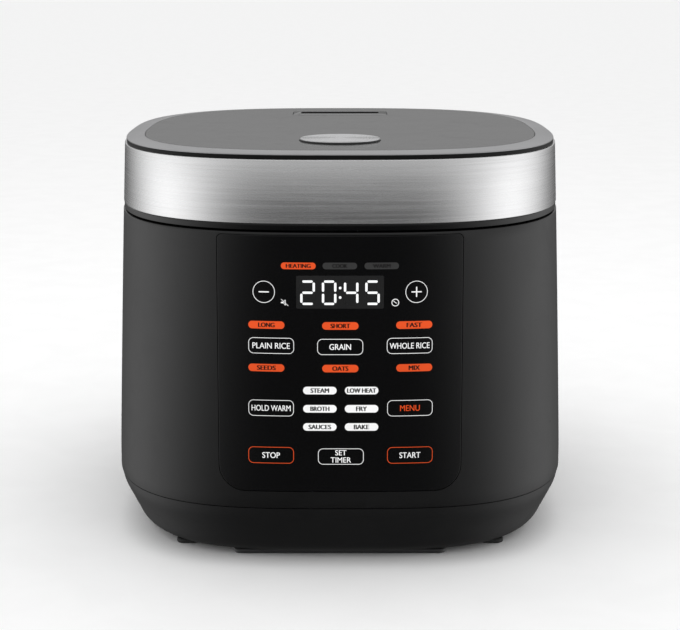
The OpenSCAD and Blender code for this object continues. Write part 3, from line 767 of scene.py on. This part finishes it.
top = button_hi.z
radius = (button_hi.x - button_lo.x) / 2
fall, disc = 0.12 * MM, 0.75 * MM
profile = [(0.0, top - 0.02 * MM)]
profile += [(radius * 0.98 * k / 16, top - 0.02 * MM - fall * (k / 16) ** 1.5)
            for k in range(1, 17)]
profile += [(radius - 0.2 * MM, top - fall - 0.2 * MM), (radius - 0.1 * MM, top - disc),
            (0.0, top - disc)]
place(lathe(profile, button_spot), "spun_button", "button", button_steel, ["release_button"],
      slot="button_metal")

profile = [(4 * MM, top - disc - 0.05 * MM), (radius - 0.3 * MM, top - disc - 0.05 * MM),
           (radius, top - disc - 0.35 * MM), (radius, top - 9 * MM),
           (radius - 2 * MM, top - 9 * MM), (radius - 2 * MM, top - 2.6 * MM),
           (4 * MM, top - 2.6 * MM), (4 * MM, button_lo.z), (0.0, button_lo.z),
           (0.0, top - disc - 0.05 * MM), (4 * MM, top - disc - 0.05 * MM)]
place(lathe(profile, button_spot), "button_skirt", "button", inner_black, slot="black_plastic")

# ---------------------------------------------------------------- pot

pot_r, pot_wall, rim_r = 113 * MM, 2 * MM, 125 * MM
corner_r = 20 * MM
inside = pot_lo.z + pot_wall
profile = [(0.0, pot_lo.z)]
profile += [(pot_r + pot_wall - corner_r + corner_r * math.sin(math.radians(6 * k)),
             pot_lo.z + corner_r - corner_r * math.cos(math.radians(6 * k)))
            for k in range(16)]
profile += [(pot_r + pot_wall, pot_hi.z - pot_wall - 0.6 * MM),
            (pot_r + pot_wall + 0.4 * MM, pot_hi.z - pot_wall),
            (rim_r - 0.9 * MM, pot_hi.z - pot_wall), (rim_r - 0.25 * MM, pot_hi.z - 1.75 * MM),
            (rim_r, pot_hi.z - 1.0 * MM), (rim_r - 0.25 * MM, pot_hi.z - 0.3 * MM),
            (rim_r - 0.9 * MM, pot_hi.z), (pot_r + 1.6 * MM, pot_hi.z),
            (pot_r + 0.5 * MM, pot_hi.z - 0.45 * MM), (pot_r, pot_hi.z - 1.6 * MM)]
profile += [(pot_r - corner_r + corner_r * math.sin(math.radians(90 - 6 * k)),
             inside + corner_r - corner_r * math.cos(math.radians(90 - 6 * k)))
            for k in range(16)]
profile += [(0.0, inside)]
place(lathe(profile, pot_spot, 192), "cooking_pot", "base", non_stick, ["inner_pot"],
      slot="pot_coating")

# ---------------------------------------------------------------- printed and lit legends

PRINT_SINK = 0.05 * MM


def flat_shape():
    return bmesh.new()


def rounded_patch(bm, x, z, width, height, corner, stroke=0.0):
    """A rounded rectangle lying flat, or only its outline of a given stroke. Millimetres."""
    sides = 48
    made = bmesh.ops.create_circle(bm, cap_ends=True, segments=sides, radius=1.0)["verts"]
    corner = min(corner, width / 2 - 0.01, height / 2 - 0.01)
    for i, vert in enumerate(made):
        angle = 2 * math.pi * (i + 0.5) / sides
        cosine, sine = math.cos(angle), math.sin(angle)
        vert.co = ((x + math.copysign(width / 2 - corner, cosine) + corner * cosine) * MM,
                   (z + math.copysign(height / 2 - corner, sine) + corner * sine) * MM, 0)
    face = next(f for f in made[0].link_faces if len(f.verts) == sides)
    if stroke:
        bmesh.ops.inset_region(bm, faces=[face], thickness=stroke * MM, use_boundary=True,
                               use_even_offset=True)
        bmesh.ops.delete(bm, geom=[face], context="FACES_ONLY")


def bar(bm, x0, z0, x1, z1, thick):
    """A straight stroke with round ends."""
    length = math.hypot(x1 - x0, z1 - z0)
    sides = 16
    made = bmesh.ops.create_circle(bm, cap_ends=True, segments=sides, radius=1.0)["verts"]
    turn = math.atan2(z1 - z0, x1 - x0)
    for i, vert in enumerate(made):
        angle = 2 * math.pi * (i + 0.5) / sides
        along = math.copysign(length / 2, math.cos(angle)) + thick / 2 * math.cos(angle)
        across = thick / 2 * math.sin(angle)
        vert.co = (((x0 + x1) / 2 + along * math.cos(turn) - across * math.sin(turn)) * MM,
                   ((z0 + z1) / 2 + along * math.sin(turn) + across * math.cos(turn)) * MM, 0)


def letters(bm, words, x, z, height, width, heavy=0.0):
    """Block letters of a given capital height and width, centred. Heavy ones are struck three
    times, that far apart."""
    curve = bpy.data.curves.new("letters", "FONT")
    curve.body = words
    curve.align_x = "LEFT"
    curve.resolution_u = 4
    drawn = bpy.data.objects.new("letters", curve)
    bpy.context.scene.collection.objects.link(drawn)
    bpy.context.view_layer.update()
    mesh = bpy.data.meshes.new_from_object(
        drawn.evaluated_get(bpy.context.evaluated_depsgraph_get()))
    low_x, high_x = (f(v.co.x for v in mesh.vertices) for f in (min, max))
    low_y, high_y = (f(v.co.y for v in mesh.vertices) for f in (min, max))
    tall = height * MM / (high_y - low_y)
    wide = width * MM / (high_x - low_x)
    for vert in mesh.vertices:
        vert.co = ((x - heavy) * MM + (vert.co.x - (low_x + high_x) / 2) * wide,
                   z * MM + (vert.co.y - (low_y + high_y) / 2) * tall, 0)
    bm.from_mesh(mesh)
    for _ in range(2 if heavy else 0):
        mesh.transform(Matrix.Translation((heavy * MM, 0, 0)))
        bm.from_mesh(mesh)
    bpy.data.objects.remove(drawn)
    bpy.data.curves.remove(curve)
    bpy.data.meshes.remove(mesh)


def wrap_on_front(bm, sink=PRINT_SINK):
    """Cuts a flat print into narrow strips and lays it on the body's curved front."""
    for k in range(-18, 19):
        bmesh.ops.bisect_plane(bm, geom=bm.verts[:] + bm.edges[:] + bm.faces[:],
                               plane_co=(k * 4 * MM, 0, 0), plane_no=(1, 0, 0), dist=1e-7)
    for vert in bm.verts:
        x, z = vert.co.x, vert.co.y
        vert.co = (x, front_y(x, z, sink), z)
    bmesh.ops.triangulate(bm, faces=[f for f in bm.faces if len(f.verts) > 4])


orange, white, dark, dim, digits, film, ghost = (flat_shape() for _ in range(7))

# Lit pills and keys: middle across, middle up, words, how wide the words run
rounded_patch(orange, -24.2, 183.7, 20.2, 3.9, 1.9)
letters(dark, "HEATING", -24.2, 183.7, 2.4, 14.2, 0.18)
for x, words, long in ((-0.1, "COOK", 8.6), (24.2, "WARM", 10.0)):
    rounded_patch(dim, x, 183.7, 20.0, 3.9, 1.9)
    letters(dark, words, x, 183.7, 2.3, long, 0.15)

rounded_patch(film, 0, 168.3, 51.0, 19.4, 1.0)

for x, z, words, long in (
        (-43.0, 148.7, "LONG", 9.4), (0.2, 148.4, "SHORT", 11.2), (43.4, 148.7, "FAST", 8.8),
        (-43.2, 123.2, "SEEDS", 10.8), (0.2, 123.0, "OATS", 9.2), (43.6, 123.2, "MIX", 6.4)):
    rounded_patch(orange, x, z, 21.2, 4.5, 2.2)
    letters(dark, words, x, z, 2.7, long, 0.2)

for x, z, words, long in (
        (-11.85, 109.8, "STEAM", 10.6), (12.7, 109.8, "LOW HEAT", 16.8),
        (-11.85, 98.8, "BROTH", 11.0), (12.7, 98.8, "FRY", 6.2),
        (-11.9, 87.8, "SAUCES", 13.0), (12.7, 87.8, "BAKE", 8.8)):
    rounded_patch(white, x, z, 19.7, 4.6, 2.3)
    letters(dark, words, x, z, 2.7, long, 0.2)

KEY_STROKE = 0.32
for x, z, high, words, long in (
        (-40.3, 136.4, 9.5, "PLAIN RICE", 22.0), (0.1, 135.9, 9.5, "GRAIN", 12.6),
        (40.8, 136.4, 9.5, "WHOLE RICE", 23.4), (-40.6, 99.0, 9.7, "HOLD WARM", 23.0)):
    rounded_patch(white, x, z, 26.8, high, 3.0, KEY_STROKE)
    letters(white, words, x, z, 3.5, long, 0.04)
rounded_patch(white, 41.2, 99.0, 26.8, 9.7, 3.0, KEY_STROKE)
letters(orange, "MENU", 41.2, 99.0, 3.5, 11.6, 0.04)
rounded_patch(white, 0.5, 69.8, 27.0, 9.8, 3.0, KEY_STROKE)
letters(white, "SET", 0.5, 72.1, 3.2, 6.6, 0.04)
letters(white, "TIMER", 0.5, 67.7, 3.2, 12.0, 0.04)
for x, words, long in ((-40.8, "STOP", 10.4), (41.4, "START", 12.4)):
    rounded_patch(orange, x, 70.4, 27.0, 10.0, 3.0, KEY_STROKE)
    letters(white, words, x, 70.4, 3.5, long, 0.04)

for x, plus in ((-44.4, False), (44.6, True)):
    rounded_patch(white, x, 168.2, 13.0, 13.0, 6.5, 0.34)
    bar(white, x - 2.7, 168.2, x + 2.7, 168.2, 0.7)
    if plus:
        bar(white, x, 165.5, x, 170.9, 0.7)

# A crossed-out speaker, and a small clock
bar(white, -34.0, 162.1, -33.4, 162.1, 0.9)
bar(white, -33.2, 162.1, -31.9, 163.6, 0.3)
bar(white, -33.2, 162.1, -31.9, 160.6, 0.3)
bar(white, -31.8, 160.6, -31.8, 163.6, 0.3)
bar(white, -34.2, 164.0, -30.2, 160.2, 0.3)
rounded_patch(white, 32.2, 162.1, 4.4, 4.4, 2.2, 0.4)
bar(white, 32.2, 162.1, 31.2, 163.0, 0.35)
bar(white, 32.2, 162.1, 33.0, 161.7, 0.35)

SEGMENTS = {"2": "abged", "0": "abcdef", "4": "fgbc", "5": "afgcd", "8": "abcdefg"}


def lit_digit(bm, figure, x0, x1, z0, z1):
    """A seven-bar figure between two sides and two heights."""
    thick, gap = 1.5, 0.85
    middle = (z0 + z1) / 2
    half = thick / 2
    left, right, low, high = x0 + half, x1 - half, z0 + half, z1 - half
    bars = {"a": (left + gap, high, right - gap, high), "d": (left + gap, low, right - gap, low),
            "g": (left + gap, middle, right - gap, middle),
            "f": (left, middle + gap, left, high - gap),
            "b": (right, middle + gap, right, high - gap),
            "e": (left, low + gap, left, middle - gap),
            "c": (right, low + gap, right, middle - gap)}
    for each in SEGMENTS[figure]:
        ax, az, bx, bz = bars[each]
        inset = half * 0.55
        if ax == bx:
            bar(bm, ax, az + inset, bx, bz - inset, thick * 0.92)
        else:
            bar(bm, ax + inset, az, bx - inset, bz, thick * 0.92)


for figure, x0, x1 in (("2", -23.2, -14.5), ("0", -10.6, -2.0), ("4", 2.2, 10.8),
                       ("5", 14.6, 23.2)):
    lit_digit(ghost, "8", x0, x1, 160.7, 175.3)
    lit_digit(digits, figure, x0, x1, 160.7, 175.3)
for z in (165.2, 170.8):
    bar(digits, 0.1, z - 0.05, 0.1, z + 0.05, 1.5)

for bm, name, ink, sink in (
        (film, "display_window", window_film, 0.09), (dim, "resting_pills", dim_pill, 0.06),
        (ghost, "resting_bars", resting_bar, 0.08),
        (orange, "orange_legends", lit_orange, 0.06), (white, "white_legends", lit_white, 0.06),
        (digits, "clock_figures", digit_white, 0.06), (dark, "pill_words", dark_ink, 0.03)):
    wrap_on_front(bm, sink * MM)
    place(bm, name, "base", ink, smooth=0, flat_print=True, slot="touch_glass")

# ---------------------------------------------------------------- refined copies of CAD nodes

for node, material, edge in (
        ("upper_rim", piano_black, 0.4), ("bottom_plate", inner_black, 0.0),
        ("front_foot_bar", inner_black, 0.8), ("rubber_feet", soft_rubber, 0.8),
        ("rear_housing", housing_black, 0.8), ("power_inlet", inner_black, 0.4),
        ("inlet_pins", pin_brass, 0.3), ("hinge_bracket", zinc_plate, 0.3),
        ("latch_catch", zinc_plate, 0.3), ("condensate_cup", smoked_clear, 0.4),
        ("lid_liner", inner_black, 0.5), ("lid_hinge_block", housing_black, 0.6),
        ("inner_lid_plate", spun_aluminium, 0.3), ("pot_gasket", seal_silicone, 0.0),
        ("steam_vent_cap", top_lacquer, 0.12), ("button_housing", inner_black, 0.3),
        ("heating_plate", spun_aluminium, 0.4), ("thermal_sensor", spun_aluminium, 0.5),
        ("heating_chamber", chamber_sheet, 0.0), ("latch_lever", inner_black, 0.4),
        ("latch_bracket", inner_black, 0.3), ("plate_clips", inner_black, 0.4),
        ("lid_sensor", spun_aluminium, 0.4), ("base_screws", zinc_plate, 0.2),
        ("lid_screws", zinc_plate, 0.2), ("hinge_pin", zinc_plate, 0.3),
        ("steam_seal", seal_silicone, 0.3), ("steam_duct", inner_black, 0.3),
        ("lid_frame", piano_black, 0.2), ("sensor_housing", inner_black, 0.3)):
    refined(node, material, edge)


def sprung(node):
    """A merged, smooth-shaded copy of a coil spring's CAD node, with a mesh of its own."""
    coil = refined(node, zinc_plate, smooth=60)
    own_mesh(coil)


sprung("button_spring")
sprung("sensor_spring")
sprung("latch_spring")

CARRIED = {
    "panel_carrier": white_nylon, "display_module": inner_black, "touch_board": board_green,
    "buzzer": inner_black, "power_board": board_green, "side_heater_band": mica_sheet,
    "heating_element": zinc_plate, "plate_stands": zinc_plate, "thermal_fuse": white_nylon,
    "wiring_harness": lead_silicone, "hinge_springs": zinc_plate,
    "latch_pin": zinc_plate,
}
for node, material in CARRIED.items():
    for each in nodes[node].material_slots:
        each.material = material

# ---------------------------------------------------------------- camera

scene = bpy.context.scene
CAMERA_LENS = 85.87
CAMERA_AWAY, CAMERA_UP = 1.091, 0.349
CAMERA_DOWN = 11.86  # degrees below level
camera_data = bpy.data.cameras.new("camera")
camera_data.sensor_width = 36
camera_data.lens = CAMERA_LENS
camera = bpy.data.objects.new("camera", camera_data)
scene.collection.objects.link(camera)
camera.location = (0, CENTRE_Y - CAMERA_AWAY, CAMERA_UP)
camera.rotation_euler = (math.radians(90 - CAMERA_DOWN), 0, 0)
scene.camera = camera

# ---------------------------------------------------------------- floor

bm = bmesh.new()
bmesh.ops.create_grid(bm, x_segments=1, y_segments=1, size=60)
mesh = bpy.data.meshes.new("studio_floor")
bm.to_mesh(mesh)
bm.free()
floor = bpy.data.objects.new("studio_floor", mesh)
scene.collection.objects.link(floor)
pale, tree, shader = start_material("pale_floor", 0.8)
even = use(tree, moulded_grain, centred_place(tree), Pits_per_metre=300.0)
tree.links.new(blended(tree, even["Patch"], (0.94, 0.94, 0.94), (0.96, 0.96, 0.96)),
               shader.inputs["Base Color"])
mesh.materials.append(pale)
floor.visible_glossy = False


# ---------------------------------------------------------------- studio light
# Plain and soft: even light all round, and for shiny surfaces one broad soft light on each
# side, a dim front and back, and a bright ceiling.

EVEN_LIGHT = 0.97
DIM_LIGHT = 0.08
SIDE_LIGHT = 1.2
CEILING_LIGHT = 0.7

world = bpy.data.worlds.new("studio")
scene.world = world
world.use_nodes = True
tree = world.node_tree
back = tree.nodes["Background"]
where = tree.nodes.new("ShaderNodeTexCoord")
split = tree.nodes.new("ShaderNodeSeparateXYZ")
tree.links.new(where.outputs["Generated"], split.inputs[0])
sideways = maths(tree, "POWER", maths(tree, "ABSOLUTE", split.outputs["X"]), 3.0)
sides = maths(tree, "MULTIPLY_ADD", sideways, SIDE_LIGHT, DIM_LIGHT)
overhead = eased(tree, split.outputs["Z"], -0.1, 0.3)
studio = blended(tree, overhead, sides, (CEILING_LIGHT,) * 3)
paths = tree.nodes.new("ShaderNodeLightPath")
seen = blended(tree, paths.outputs["Is Glossy Ray"], (EVEN_LIGHT,) * 3, studio)
tree.links.new(seen, back.inputs["Color"])
back.inputs["Strength"].default_value = 1.0


def soft_light(name, where, aim, size, power):
    """A round area light that reflections do not show."""
    data = bpy.data.lights.new(name, "AREA")
    data.shape = "DISK"
    data.size = size
    data.energy = power
    lamp = bpy.data.objects.new(name, data)
    scene.collection.objects.link(lamp)
    lamp.location = where
    lamp.rotation_euler = (Vector(aim) - Vector(where)).to_track_quat("-Z", "Y").to_euler()
    lamp.visible_glossy = False
    lamp.visible_camera = False
    return lamp


soft_light("top_light", (0.0, -0.2, 1.6), (0, 0, 0.1), 1.4, 5.0)

scene.view_settings.view_transform = "Standard"
scene.view_settings.look = "None"
